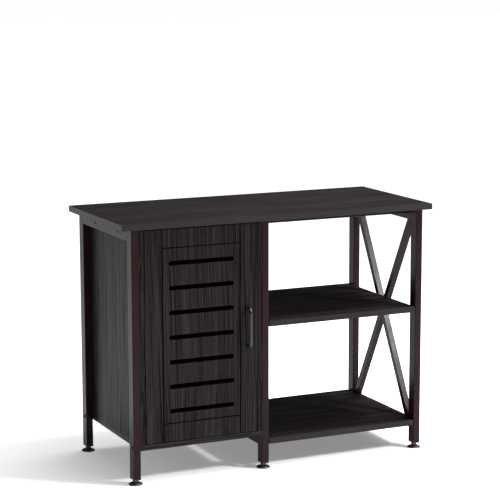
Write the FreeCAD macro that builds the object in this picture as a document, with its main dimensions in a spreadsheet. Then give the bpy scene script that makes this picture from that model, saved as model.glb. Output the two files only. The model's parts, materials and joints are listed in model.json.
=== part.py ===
import FreeCAD, Part
import Sketcher
import math
import os
import re

# Aquarium stand cabinet: a steel tube stand with a laminated board top, an open
# two-shelf bay on the right and a louvred-door cabinet on the left.
# Millimetres. Origin: on the floor under the middle of the whole stand, which the
# door handle makes a little deeper than its top. +X to the right, +Y to the back,
# +Z up. The front faces -Y.

Vector = FreeCAD.Vector
Placement = FreeCAD.Placement
Rotation = FreeCAD.Rotation

doc = FreeCAD.newDocument("aquarium_stand_cabinet")

# ---------------------------------------------------------------- dimensions

DIMS = {
    # tabletop
    "top_width": 1028,
    "top_depth": 450,
    "top_thick": 18,
    "total_height": 778,
    "side_overhang": 31,
    "front_overhang": 5,
    # steel frame
    "post_wide": 22,
    "post_deep": 35,
    "tube_wall": 1.5,
    "tube_corner": 2,
    "post_foot": 19,
    "middle_post": -55,
    "rail_tall": 35,
    "low_rail": 20,
    "low_rail_under": 70,
    "brace_tube": 18,
    "brace_end": 171,
    "beam_tube": 20,
    "beam_offset": 135,
    "beam_end_gap": 0.5,
    "beam_screw_inset": 100,
    # open shelves
    "shelf_thick": 18,
    "shelf_gap": 2,
    "middle_shelf_top": 457,
    "bottom_shelf_top": 94,
    # cabinet
    "panel_thick": 16,
    "back_thick": 4,
    "floor_under": 104,
    "inner_shelf_top": 405,
    "inner_shelf_setback": 30,
    "inner_shelf_gap": 1,
    "peg_radius": 2.5,
    "peg_long": 16,
    "peg_offset": 150,
    # door
    "door_gap": 2,
    "hinge_gap": 2.5,
    "door_top_gap": 3.5,
    "groove_inset": 55,
    "groove_wide": 4,
    "groove_deep": 2.5,
    "slot_long": 208,
    "slot_tall": 14,
    "slot_pitch": 73.7,
    "slot_count": 7,
    "slot_first": 213.5,
    # door pivots
    "pivot_inset": 15,
    "pivot_radius": 3,
    "pivot_in_board": 10,
    "pivot_in_door": 12,
    "bush_radius": 5,
    "bush_long": 14,
    "washer_radius": 7,
    "washer_thick": 1.9,
    "run_gap": 0.05,
    # handle
    "handle_inset": 30.5,
    "handle_middle": 445,
    "handle_long": 124,
    "handle_rod": 10,
    "handle_reach": 28,
    "handle_bend": 13,
    "handle_screw_in": 9,
    # magnetic catch
    "catch_middle": 640,
    "catch_long": 46,
    "catch_wide": 14,
    "catch_deep": 16,
    "magnet_long": 30,
    "magnet_wide": 8,
    "magnet_proud": 0.5,
    "strike_long": 38,
    "strike_wide": 12,
    "strike_thick": 1,
    "strike_gap": 0.3,
    # levelling feet
    "pad_radius": 21,
    "pad_chamfer": 1,
    "pad_rim": 2.5,
    "pad_dome": 4.5,
    "pad_gap": 0.2,
    "boss_radius": 8.5,
    "stud_radius": 4,
    "stud_long": 48,
    "stud_in_pad": 12,
    "plug_flange": 2,
    "plug_deep": 20,
    "plug_gap": 0.1,
    # screws and bolts
    "screw_radius": 2,
    "screw_head": 4,
    "screw_head_tall": 2,
    "bolt_radius": 3,
    "bolt_head": 5.5,
    "bolt_head_tall": 3,
    "bolt_in_board": 30,
    "top_screw_in_board": 12,
    "top_screw_offset": 150,
    "rail_screw_front": 105,
    "rail_screw_back": 78,
    "rail_screw_in_board": 12,
    "side_screw_offset": 160,
    "side_screw_in_board": 34,
    "back_screw_in_board": 12,
    "back_screw_middle": 440,
    "back_screw_step": 260,
    "shelf_bolt_offset": 120,
    "shelf_bolt_height": 83,
    "shelf_bolt_setback": 25,
    "strike_screw_inset": 5,
    "strike_screw_in_board": 8,
    "catch_screw_inset": 4,
    "catch_screw_in_board": 10,
}

sheet = doc.addObject("Spreadsheet::Sheet", "Dims")
for row, (alias, number) in enumerate(DIMS.items(), start=1):
    sheet.set(f"A{row}", alias)
    sheet.set(f"B{row}", str(number))
    sheet.setAlias(f"B{row}", alias)
doc.recompute()


def bound(text):
    """An expression in which every dimension's name reads its spreadsheet cell."""
    return re.sub(r"[a-z]+(?:_[a-z]+)+", lambda word: "Dims." + word.group(0), str(text))


probe = doc.addObject("Part::Box", "Probe")


def value(text):
    """The same expression as a number, for the few sizes that code has to know."""
    probe.setExpression("Placement.Base.x", bound(text))
    probe.recompute()
    return probe.Placement.Base.x


# Places that many parts share
MIDDLE = "((handle_reach - front_overhang) / 2)"
LEFT = "(side_overhang - top_width / 2)"
RIGHT = "(top_width / 2 - side_overhang)"
FRONT = f"({MIDDLE} + front_overhang - top_depth / 2)"
BACK = f"({MIDDLE} + top_depth / 2 - front_overhang)"
UNDER_TOP = "(total_height - top_thick)"
POST_X = {
    "left": f"({LEFT} + post_wide / 2)",
    "middle": "(middle_post)",
    "right": f"({RIGHT} - post_wide / 2)",
}
POST_Y = {
    "front": f"({FRONT} + post_deep / 2)",
    "back": f"({BACK} - post_deep / 2)",
}
SIDE_PANEL = f"({LEFT} + post_wide)"
PARTITION = "(middle_post - post_wide / 2 - panel_thick)"
FLOOR_TOP = "(floor_under + panel_thick)"
BAY_LEFT = "(middle_post + post_wide / 2)"
BAY_RIGHT = f"({RIGHT} - post_wide)"
DOOR_LEFT = f"({SIDE_PANEL} + panel_thick + hinge_gap)"
DOOR_RIGHT = f"({PARTITION} - door_gap)"
DOOR_BOTTOM = f"({FLOOR_TOP} + door_gap)"
DOOR_TOP = f"({UNDER_TOP} - door_top_gap)"
DOOR_BACK = f"({FRONT} + panel_thick)"
PIVOT_X = f"({DOOR_LEFT} + pivot_inset)"
PIVOT_Y = f"({FRONT} + panel_thick / 2)"
RAIL_UNDER = f"({UNDER_TOP} - rail_tall)"
LOW_RAIL_TOP = "(low_rail_under + low_rail)"
PEG_HEIGHT = "(inner_shelf_top - panel_thick - peg_radius)"

nodes = {}


def node(name, item):
    """Names a finished sub-part; its name is also its file's name."""
    item.Label = name
    nodes[name] = item
    return item


# ---------------------------------------------------------- building blocks

TOUCHING = 1e-6

AXES = {
    "+x": Vector(1, 0, 0), "-x": Vector(-1, 0, 0),
    "+y": Vector(0, 1, 0), "-y": Vector(0, -1, 0),
    "+z": Vector(0, 0, 1), "-z": Vector(0, 0, -1),
}


def place(item, x, y, z):
    """Binds where an object stands to the sheet."""
    for axis, text in zip("xyz", (x, y, z)):
        item.setExpression("Placement.Base." + axis, bound(text))
    return item


def box(name, size, corner):
    """A box from its lowest corner."""
    item = doc.addObject("Part::Box", name)
    for prop, text in zip(("Length", "Width", "Height"), size):
        item.setExpression(prop, bound(text))
    return place(item, *corner)


def rod(name, radius, length, start, axis):
    """A round bar from the middle of its first end, along one of AXES."""
    item = doc.addObject("Part::Cylinder", name)
    item.setExpression("Radius", bound(radius))
    item.setExpression("Height", bound(length))
    item.Placement = Placement(Vector(), Rotation(Vector(0, 0, 1), AXES[axis]))
    return place(item, *start)


def along(start, axis, distance):
    """The point at a distance from start, as three expressions."""
    return [f"({text}) + ({part:g}) * ({distance})" for text, part in zip(start, AXES[axis])]


def together(name, items):
    """Several solids as one shape."""
    if len(items) == 1:
        return items[0]
    item = doc.addObject("Part::MultiFuse", name)
    item.Shapes = items
    return item


def group(name, items):
    """Separate solids of one node."""
    item = doc.addObject("Part::Compound", name)
    item.Links = items
    return item


def cut(name, base, tools):
    """A solid with holes, or the solid itself when it has none."""
    if not tools:
        return base
    item = doc.addObject("Part::Cut", name)
    item.Base = base
    item.Tool = together(name + "_tools", tools)
    return item


def screw(name, start, axis, length, kind="screw"):
    """A pan-head fastener whose head stands on start and whose shank runs along axis."""
    head = rod(name + "_head", f"{kind}_head", f"{kind}_head_tall", start, axis)
    place(head, *along(start, axis, f"0 - {kind}_head_tall"))
    shank = rod(name + "_shank", f"{kind}_radius", length, start, axis)
    return together(name, [head, shank])


def hole(name, start, axis, length, kind="screw"):
    """The hole for such a fastener, a running gap wider than its shank."""
    return rod(name, f"{kind}_radius + run_gap", length, start, axis)


def plane_of(body, role):
    """One of a body's own origin planes."""
    return next(item for item in body.Origin.OriginFeatures if item.Role == role)


def sketch_on(body, name, role):
    item = body.newObject("Sketcher::SketchObject", name)
    item.AttachmentSupport = (plane_of(body, role), [""])
    item.MapMode = "FlatFace"
    return item


def rectangle(sketch, wide, tall, middle=("0", "0")):
    """A rectangle about a point, its sizes and place bound to the sheet."""
    first = sketch.GeometryCount
    cx, cy = (value(text) for text in middle)
    dx, dy = value(wide) / 2, value(tall) / 2
    corners = [Vector(cx - dx, cy - dy), Vector(cx + dx, cy - dy),
               Vector(cx + dx, cy + dy), Vector(cx - dx, cy + dy)]
    for step in range(4):
        sketch.addGeometry(Part.LineSegment(corners[step], corners[(step + 1) % 4]))
    for step in range(4):
        sketch.addConstraint(
            Sketcher.Constraint("Coincident", first + step, 2, first + (step + 1) % 4, 1))
    for step, rule in enumerate(("Horizontal", "Vertical", "Horizontal", "Vertical")):
        sketch.addConstraint(Sketcher.Constraint(rule, first + step))
    sizes = (
        (Sketcher.Constraint("DistanceX", first, 1, first, 2, 2 * dx), wide),
        (Sketcher.Constraint("DistanceY", first + 1, 1, first + 1, 2, 2 * dy), tall),
        (Sketcher.Constraint("DistanceX", -1, 1, first, 1, cx - dx), f"({middle[0]}) - ({wide}) / 2"),
        (Sketcher.Constraint("DistanceY", -1, 1, first, 1, cy - dy), f"({middle[1]}) - ({tall}) / 2"),
    )
    for constraint, text in sizes:
        index = sketch.addConstraint(constraint)
        sketch.setExpression(f"Constraints[{index}]", bound(text))


def outer_corners(shape, half_wide):
    """Names of the edges that run the whole height of a tube at its outer corners."""
    names = []
    for index, edge in enumerate(shape.Edges, start=1):
        runs_up = abs(edge.Length - shape.BoundBox.ZLength) < TOUCHING
        if runs_up and abs(abs(edge.Vertexes[0].X) - half_wide) < TOUCHING:
            names.append(f"Edge{index}")
    return names


def tube(name, wide, deep, length, start, axis):
    """A rectangular steel tube: an outline with its bore, padded, its corners rounded.

    wide is across X, or across Z on a tube that runs along X.
    """
    body = doc.addObject("PartDesign::Body", name)
    outline = sketch_on(body, name + "_outline", "XY_Plane")
    rectangle(outline, wide, deep)
    rectangle(outline, f"({wide}) - 2 * tube_wall", f"({deep}) - 2 * tube_wall")
    pad = body.newObject("PartDesign::Pad", name + "_pad")
    pad.Profile = outline
    pad.setExpression("Length", bound(length))
    doc.recompute()
    outer = outer_corners(pad.Shape, value(wide) / 2)
    corners = body.newObject("PartDesign::Fillet", name + "_corners")
    corners.Base = (pad, outer)
    corners.setExpression("Radius", bound("tube_corner"))
    body.Tip = corners
    turns = {"+z": Rotation(), "+y": Rotation(Vector(1, 0, 0), -90), "+x": Rotation(Vector(0, 1, 0), 90)}
    body.Placement = Placement(Vector(), turns[axis])
    return place(body, *start)


# --------------------------------------------------- where the fasteners stand

ENDS = {"front": "-1", "back": "1"}


def front_and_back(offset):
    """Two places as far before and behind the middle line as the offset says."""
    return {end: f"({MIDDLE} + ({sign}) * {offset})" for end, sign in ENDS.items()}


# Bolts through the posts into the ends of the middle shelf. On the left their heads
# stand inside the cabinet and they pass through its partition too.
MIDDLE_BOLT_Z = "(middle_shelf_top - shelf_thick / 2)"
MIDDLE_BOLT_Y = {"front": f"({FRONT} + shelf_bolt_setback)", "back": f"({BACK} - shelf_bolt_setback)"}
MIDDLE_BOLT_POSTS = ("middle", "right")
MIDDLE_BOLTS = {
    "left": (PARTITION, "+x", "panel_thick + post_wide + shelf_gap + bolt_in_board"),
    "right": (RIGHT, "-x", "post_wide + shelf_gap + bolt_in_board"),
}

# Bolts through the low rails into the ends of the bottom shelf
LOW_BOLT_Y = front_and_back("shelf_bolt_offset")
LOW_BOLT_LENGTH = "post_wide / 2 + low_rail / 2 + shelf_gap + bolt_in_board"
LOW_BOLTS = {
    "left": (f"({POST_X['middle']} - low_rail / 2)", "+x"),
    "right": (f"({POST_X['right']} + low_rail / 2)", "-x"),
}

# Bolts through the left and middle posts into the ends of the cabinet's floor
FLOOR_BOLT_Z = "(floor_under + panel_thick / 2)"
FLOOR_BOLTS = {"left": (LEFT, "+x"), "middle": (BAY_LEFT, "-x")}

# Screws through the top rails into the cabinet's side and partition
RAIL_SCREW_Z = f"({UNDER_TOP} - rail_tall / 2)"
RAIL_SCREW_Y = {"front": f"({MIDDLE} - rail_screw_front)", "back": f"({MIDDLE} + rail_screw_back)"}
RAIL_SCREWS = {"left": (LEFT, "+x"), "middle": (BAY_LEFT, "-x")}

# Screws up through the cabinet's floor into its side and partition
SIDE_SCREW_X = {"left": f"({SIDE_PANEL} + panel_thick / 2)", "middle": f"({PARTITION} + panel_thick / 2)"}
SIDE_SCREW_Y = front_and_back("side_screw_offset")

# Screws up into the top, through the rails and the beams
RAIL_TOP_Y = front_and_back("top_screw_offset")
BEAM_Y = front_and_back("beam_offset")
BEAM_TOP_X = {
    "left": f"({BAY_LEFT} + beam_screw_inset)",
    "right": f"({BAY_RIGHT} - beam_screw_inset)",
}
BEAM_UNDER = f"({UNDER_TOP} - beam_tube)"

# Screws that hold the cabinet's back to the edges of its side and partition
BACK_SCREW_Z = {
    level: f"(back_screw_middle + ({sign}) * back_screw_step)"
    for level, sign in (("low", "-1"), ("middle", "0"), ("high", "1"))
}

# Shelf pegs, two in the side and two in the partition
PEG_Y = front_and_back("peg_offset")


def top_screws():
    """(name, where the head sits, length) of every screw that holds the top."""
    screws = []
    for side, x in POST_X.items():
        for end, y in RAIL_TOP_Y.items():
            screws.append((f"{side}_{end}", (x, y, RAIL_UNDER), "rail_tall + top_screw_in_board"))
    for end, y in BEAM_Y.items():
        for side, x in BEAM_TOP_X.items():
            screws.append((f"beam_{end}_{side}", (x, y, BEAM_UNDER), "beam_tube + top_screw_in_board"))
    return screws


# ------------------------------------------------------------------ tabletop

def make_tabletop():
    board = box("tabletop_board", ("top_width", "top_depth", "top_thick"),
                ("0 - top_width / 2", f"{MIDDLE} - top_depth / 2", UNDER_TOP))
    holes = [
        hole(f"tabletop_hole_{name}", (start[0], start[1], UNDER_TOP), "+z", "top_screw_in_board + 1")
        for name, start, _ in top_screws()
    ]
    holes.append(rod("tabletop_pivot_hole", "pivot_radius", "pivot_in_board",
                     (PIVOT_X, PIVOT_Y, UNDER_TOP), "+z"))
    node("tabletop", cut("tabletop_drilled", board, holes))


# --------------------------------------------------------------- steel frame

def make_posts():
    for side, x in POST_X.items():
        for end, y in POST_Y.items():
            name = f"post_{end}_{side}"
            post = tube(name + "_tube", "post_wide", "post_deep", f"{UNDER_TOP} - post_foot",
                        (x, y, "post_foot"), "+z")
            bolts = {}
            if side in MIDDLE_BOLT_POSTS:
                bolts["shelf"] = (MIDDLE_BOLT_Y[end], MIDDLE_BOLT_Z)
            if side in FLOOR_BOLTS:
                bolts["floor"] = (y, FLOOR_BOLT_Z)
            holes = [
                hole(f"{name}_{use}_hole", (f"{x} - post_wide", *place_yz), "+x", "2 * post_wide", "bolt")
                for use, place_yz in bolts.items()
            ]
            node(name, cut(name + "_drilled", post, holes))


def make_top_rails():
    for side, x in POST_X.items():
        name = f"top_rail_{side}"
        rail = tube(name + "_tube", "post_wide", "rail_tall", f"{BACK} - {FRONT} - 2 * post_deep",
                    (x, f"{FRONT} + post_deep", f"{UNDER_TOP} - rail_tall / 2"), "+y")
        holes = [
            hole(f"{name}_top_hole_{end}", (x, y, f"{RAIL_UNDER} - 1"), "+z", "rail_tall + 2")
            for end, y in RAIL_TOP_Y.items()
        ]
        if side in RAIL_SCREWS:
            for end, y in RAIL_SCREW_Y.items():
                holes.append(hole(f"{name}_side_hole_{end}", (f"{x} - post_wide", y, RAIL_SCREW_Z),
                                  "+x", "2 * post_wide"))
        node(name, cut(name + "_drilled", rail, holes))


def make_beams():
    for end, y in BEAM_Y.items():
        name = f"top_beam_{end}"
        beam = tube(name + "_tube", "beam_tube", "beam_tube",
                    f"{BAY_RIGHT} - {BAY_LEFT} - 2 * beam_end_gap",
                    (f"{BAY_LEFT} + beam_end_gap", y, f"{UNDER_TOP} - beam_tube / 2"), "+x")
        holes = [
            hole(f"{name}_hole_{side}", (x, y, f"{BEAM_UNDER} - 1"), "+z", "beam_tube + 2")
            for side, x in BEAM_TOP_X.items()
        ]
        node(name, cut(name + "_drilled", beam, holes))


def make_low_rails():
    for side in ("middle", "right"):
        name = f"low_rail_{side}"
        rail = tube(name + "_tube", "low_rail", "low_rail", f"{BACK} - {FRONT} - 2 * post_deep",
                    (POST_X[side], f"{FRONT} + post_deep", "low_rail_under + low_rail / 2"), "+y")
        holes = [
            hole(f"{name}_hole_{end}", (f"{POST_X[side]} - low_rail", y, "shelf_bolt_height"),
                 "+x", "2 * low_rail", "bolt")
            for end, y in LOW_BOLT_Y.items()
        ]
        node(name, cut(name + "_drilled", rail, holes))


def brace_bar(name, size, sign):
    """A square bar on a diagonal of the right-hand frame, a little longer than it."""
    rise = value(f"{RAIL_UNDER} - {LOW_RAIL_TOP}")
    run = value("2 * brace_end")
    length = math.hypot(rise, run) + value("4 * brace_tube")
    half = value(size) / 2
    middle = Vector(value(POST_X["right"]), value(MIDDLE), value(f"({RAIL_UNDER} + {LOW_RAIL_TOP}) / 2"))
    turn = Rotation(Vector(1, 0, 0), sign * math.degrees(math.atan2(run, rise)))
    item = doc.addObject("Part::Box", name)
    item.setExpression("Length", bound(size))
    item.setExpression("Width", bound(size))
    item.Height = length
    item.Placement = Placement(middle - turn.multVec(Vector(half, half, length / 2)), turn)
    return item


def between_rails(name, bar, low, height):
    """The stretch of a bar that lies in a level band."""
    item = doc.addObject("Part::Common", name)
    item.Base = bar
    item.Tool = box(name + "_band", ("3 * post_wide", f"{BACK} - {FRONT}", height),
                    (f"{RIGHT} - 2 * post_wide", FRONT, low))
    return item


def brace_tube(name, sign):
    """A square tube on a diagonal."""
    return cut(name, brace_bar(name + "_outside", "brace_tube", sign),
               [brace_bar(name + "_bore", "brace_tube - 2 * tube_wall", sign)])


def make_braces():
    """One whole diagonal, top back to bottom front, and two lengths coped against it."""
    height = f"({RAIL_UNDER} - {LOW_RAIL_TOP})"
    node("brace_long", between_rails("brace_long_cut", brace_tube("brace_long_tube", -1),
                                     LOW_RAIL_TOP, height))
    crossing = brace_bar("brace_crossing", "brace_tube", -1)
    for part, low in (("upper", f"({LOW_RAIL_TOP} + {height} / 2)"), ("lower", LOW_RAIL_TOP)):
        half = between_rails(f"brace_{part}_cut", brace_tube(f"brace_{part}_tube", 1),
                             low, f"{height} / 2")
        node(f"brace_{part}", cut(f"brace_{part}_coped", half, [crossing]))


def make_end_plugs():
    """Plastic plugs in the posts' lower ends, bored for the feet's studs."""
    inset = "(tube_wall + plug_gap)"
    plugs = []
    for side, x in POST_X.items():
        for end, y in POST_Y.items():
            name = f"plug_{end}_{side}"
            corner = (f"{x} - post_wide / 2", f"{y} - post_deep / 2")
            flange = box(name + "_flange", ("post_wide", "post_deep", "plug_flange"),
                         (*corner, "post_foot - plug_flange"))
            stem = box(name + "_stem", (f"post_wide - 2 * {inset}", f"post_deep - 2 * {inset}", "plug_deep"),
                       (f"{corner[0]} + {inset}", f"{corner[1]} + {inset}", "post_foot"))
            bore = rod(name + "_bore", "stud_radius + run_gap", "plug_deep + 3 * plug_flange",
                       (x, y, "post_foot - 2 * plug_flange"), "+z")
            plugs.append(cut(name, together(name + "_solid", [flange, stem]), [bore]))
    node("post_end_plugs", group("post_end_plugs_group", plugs))


# -------------------------------------------------------------- open shelves

def make_shelf(name, top, bolt_y, bolt_z):
    """A shelf board between the posts, bored at both ends for its bolts."""
    board = box(name + "_board",
                (f"{BAY_RIGHT} - {BAY_LEFT} - 2 * shelf_gap", f"{BACK} - {FRONT}", "shelf_thick"),
                (f"{BAY_LEFT} + shelf_gap", FRONT, f"{top} - shelf_thick"))
    ends = {"left": (f"{BAY_LEFT} + shelf_gap", "+x"), "right": (f"{BAY_RIGHT} - shelf_gap", "-x")}
    holes = [
        hole(f"{name}_hole_{side}_{end}", (x, y, bolt_z), axis, "bolt_in_board + 1", "bolt")
        for side, (x, axis) in ends.items() for end, y in bolt_y.items()
    ]
    node(name, cut(name + "_drilled", board, holes))


# ------------------------------------------------------------------- cabinet

def make_cabinet_sides():
    deep = f"{BACK} - {FRONT} - back_thick"
    height = f"{UNDER_TOP} - {FLOOR_TOP}"
    # name, left face, outer face, inner face, the way inwards, the way outwards
    sides = (
        ("cabinet_side", SIDE_PANEL, SIDE_PANEL, f"({SIDE_PANEL} + panel_thick)", "+x", "-x"),
        ("cabinet_partition", PARTITION, f"({PARTITION} + panel_thick)", PARTITION, "-x", "+x"),
    )
    for name, left, outer, inner, inward, outward in sides:
        board = box(name + "_board", ("panel_thick", deep, height), (left, FRONT, FLOOR_TOP))
        middle = f"({left} + panel_thick / 2)"
        holes = [
            hole(f"{name}_rail_hole_{end}", (outer, y, RAIL_SCREW_Z), inward, "rail_screw_in_board + 1")
            for end, y in RAIL_SCREW_Y.items()
        ]
        for end, y in SIDE_SCREW_Y.items():
            holes.append(hole(f"{name}_floor_hole_{end}", (middle, y, FLOOR_TOP), "+z",
                              "side_screw_in_board + 1"))
        for end, y in PEG_Y.items():
            holes.append(rod(f"{name}_peg_hole_{end}", "peg_radius", "peg_long / 2",
                             (inner, y, PEG_HEIGHT), outward))
        for level, z in BACK_SCREW_Z.items():
            holes.append(hole(f"{name}_back_hole_{level}", (middle, f"{BACK} - back_thick", z), "-y",
                              "back_screw_in_board + 1"))
        if name == "cabinet_partition":
            for end, y in MIDDLE_BOLT_Y.items():
                holes.append(hole(f"{name}_bolt_hole_{end}", (f"{left} - 1", y, MIDDLE_BOLT_Z),
                                  "+x", "panel_thick + 2", "bolt"))
            for level, z in CATCH_SCREW_Z.items():
                holes.append(hole(f"{name}_catch_hole_{level}", (left, CATCH_SCREW_Y, z), "+x",
                                  "catch_screw_in_board + 1"))
        node(name, cut(name + "_drilled", board, holes))


def make_cabinet_floor():
    wide = f"({PARTITION} + panel_thick - {SIDE_PANEL})"
    board = box("cabinet_floor_board", (wide, f"{BACK} - {FRONT} - back_thick", "panel_thick"),
                (SIDE_PANEL, FRONT, "floor_under"))
    holes = [rod("cabinet_floor_pivot_hole", "pivot_radius", "pivot_in_board",
                 (PIVOT_X, PIVOT_Y, FLOOR_TOP), "-z")]
    ends = {"left": (SIDE_PANEL, "+x"), "right": (f"({SIDE_PANEL} + {wide})", "-x")}
    for side, (x, axis) in ends.items():
        for end, y in POST_Y.items():
            holes.append(hole(f"cabinet_floor_bolt_hole_{side}_{end}", (x, y, FLOOR_BOLT_Z), axis,
                              "bolt_in_board + 1", "bolt"))
    for side, x in SIDE_SCREW_X.items():
        for end, y in SIDE_SCREW_Y.items():
            holes.append(hole(f"cabinet_floor_screw_hole_{side}_{end}", (x, y, "floor_under - 1"), "+z",
                              "panel_thick + 2"))
    node("cabinet_floor", cut("cabinet_floor_drilled", board, holes))


def make_cabinet_back():
    board = box("cabinet_back_board",
                (f"{PARTITION} + panel_thick - {SIDE_PANEL}", "back_thick", f"{UNDER_TOP} - floor_under"),
                (SIDE_PANEL, f"{BACK} - back_thick", "floor_under"))
    holes = [
        hole(f"cabinet_back_hole_{side}_{level}", (x, f"{BACK} + 1", z), "-y", "back_thick + 2")
        for side, x in SIDE_SCREW_X.items() for level, z in BACK_SCREW_Z.items()
    ]
    node("cabinet_back", cut("cabinet_back_drilled", board, holes))


def make_inner_shelf():
    left = f"({SIDE_PANEL} + panel_thick + inner_shelf_gap)"
    front = f"({FRONT} + inner_shelf_setback)"
    node("inner_shelf", box("inner_shelf_board",
                            (f"{PARTITION} - inner_shelf_gap - {left}",
                             f"{BACK} - back_thick - inner_shelf_gap - {front}", "panel_thick"),
                            (left, front, "inner_shelf_top - panel_thick")))
    faces = {
        "left": (f"({SIDE_PANEL} + panel_thick - peg_long / 2)", "+x"),
        "right": (f"({PARTITION} + peg_long / 2)", "-x"),
    }
    node("shelf_pegs", group("shelf_pegs_group", [
        rod(f"shelf_peg_{side}_{end}", "peg_radius", "peg_long", (x, y, PEG_HEIGHT), axis)
        for side, (x, axis) in faces.items() for end, y in PEG_Y.items()
    ]))


# ---------------------------------------------------------------------- door

def high_and_low(middle, offset):
    """Two heights as far below and above a middle as the offset says."""
    return {level: f"({middle} + ({sign}) * {offset})" for level, sign in (("low", "-1"), ("high", "1"))}


HANDLE_X = f"({DOOR_RIGHT} - handle_inset)"
HANDLE_LEG = "(handle_long / 2 - handle_rod / 2)"
HANDLE_LEG_Z = high_and_low("handle_middle", HANDLE_LEG)
STRIKE_X = f"({PARTITION} - catch_wide / 2)"
STRIKE_SCREW_Z = high_and_low("catch_middle", "(strike_long / 2 - strike_screw_inset)")
CATCH_FRONT = f"({DOOR_BACK} + strike_thick + strike_gap + magnet_proud)"
CATCH_SCREW_Y = f"({CATCH_FRONT} + catch_deep / 2)"
CATCH_SCREW_Z = high_and_low("catch_middle", "(catch_long / 2 - catch_screw_inset)")


def pocket_in(body, name, sketch, length=None):
    """A pocket from the front face into the door, or right through it."""
    before = body.Tip.Shape.Volume
    item = body.newObject("PartDesign::Pocket", name)
    item.Profile = sketch
    if length is None:
        item.Type = "ThroughAll"
    else:
        item.setExpression("Length", bound(length))
    doc.recompute()
    if abs(item.Shape.Volume - before) < 1:
        item.Reversed = True
        doc.recompute()
    body.Tip = item
    return item


def slot_outline(sketch, middle, length, tall):
    """A level slot with round ends."""
    cx, cy = (value(text) for text in middle)
    radius = value(tall) / 2
    reach = value(length) / 2 - radius
    left_x, right_x, low, high = cx - reach, cx + reach, cy - radius, cy + radius
    top = sketch.addGeometry(Part.LineSegment(Vector(right_x, high), Vector(left_x, high)))
    left = sketch.addGeometry(Part.ArcOfCircle(
        Part.Circle(Vector(left_x, cy), Vector(0, 0, 1), radius), math.pi / 2, 3 * math.pi / 2))
    bottom = sketch.addGeometry(Part.LineSegment(Vector(left_x, low), Vector(right_x, low)))
    right = sketch.addGeometry(Part.ArcOfCircle(
        Part.Circle(Vector(right_x, cy), Vector(0, 0, 1), radius), -math.pi / 2, math.pi / 2))
    for first, second in ((top, left), (left, bottom), (bottom, right), (right, top)):
        sketch.addConstraint(Sketcher.Constraint("Tangent", first, 2, second, 1))
    sketch.addConstraint(Sketcher.Constraint("Horizontal", top))
    sizes = (
        (Sketcher.Constraint("Radius", left, radius), f"{tall} / 2"),
        (Sketcher.Constraint("DistanceX", left, 3, right, 3, 2 * reach), f"{length} - {tall}"),
        (Sketcher.Constraint("DistanceX", -1, 1, left, 3, left_x),
         f"{middle[0]} - ({length} - {tall}) / 2"),
        (Sketcher.Constraint("DistanceY", -1, 1, left, 3, cy), middle[1]),
    )
    for constraint, text in sizes:
        index = sketch.addConstraint(constraint)
        sketch.setExpression(f"Constraints[{index}]", bound(text))


def make_door():
    """A routed board door: stile and rail grooves, and a row of ventilation slots.

    Its sketches lie on the front view with their origin at the door's lower
    left corner, so its body stands at that corner.
    """
    wide = f"({DOOR_RIGHT} - {DOOR_LEFT})"
    tall = f"({DOOR_TOP} - {DOOR_BOTTOM})"
    body = doc.addObject("PartDesign::Body", "door_board")
    outline = sketch_on(body, "door_outline", "XZ_Plane")
    rectangle(outline, wide, tall, (f"{wide} / 2", f"{tall} / 2"))
    pad = body.newObject("PartDesign::Pad", "door_pad")
    pad.Profile = outline
    pad.setExpression("Length", bound("panel_thick"))
    pad.Reversed = True
    doc.recompute()
    body.Tip = pad

    stiles = sketch_on(body, "door_stile_grooves", "XZ_Plane")
    for middle in ("groove_inset", f"{wide} - groove_inset"):
        rectangle(stiles, "groove_wide", f"{tall} + 2", (middle, f"{tall} / 2"))
    pocket_in(body, "door_stile_pocket", stiles, "groove_deep")
    rails = sketch_on(body, "door_rail_grooves", "XZ_Plane")
    for middle in ("groove_inset", f"{tall} - groove_inset"):
        rectangle(rails, f"{wide} - 2 * groove_inset", "groove_wide", (f"{wide} / 2", middle))
    pocket_in(body, "door_rail_pocket", rails, "groove_deep")

    vent = sketch_on(body, "door_vent_outline", "XZ_Plane")
    slot_outline(vent, (f"{wide} / 2", f"slot_first - {DOOR_BOTTOM}"), "slot_long", "slot_tall")
    vent_pocket = pocket_in(body, "door_vent_pocket", vent)
    vents = body.newObject("PartDesign::LinearPattern", "door_vents")
    vents.Originals = [vent_pocket]
    vents.Direction = (outline, ["V_Axis"])
    vents.setExpression("Length", bound("slot_pitch * (slot_count - 1)"))
    vents.Occurrences = int(value("slot_count"))
    body.Tip = vents
    place(body, DOOR_LEFT, FRONT, DOOR_BOTTOM)

    holes = [
        rod("door_bush_hole_low", "bush_radius", "bush_long", (PIVOT_X, PIVOT_Y, DOOR_BOTTOM), "+z"),
        rod("door_bush_hole_high", "bush_radius", "bush_long", (PIVOT_X, PIVOT_Y, DOOR_TOP), "-z"),
    ]
    for level, z in HANDLE_LEG_Z.items():
        holes.append(hole(f"door_handle_hole_{level}", (HANDLE_X, f"{FRONT} - 1", z), "+y",
                          "panel_thick + 2"))
    for level, z in STRIKE_SCREW_Z.items():
        holes.append(hole(f"door_strike_hole_{level}", (STRIKE_X, DOOR_BACK, z), "-y",
                          "strike_screw_in_board + 1"))
    node("door", cut("door_drilled", body, holes))


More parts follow.
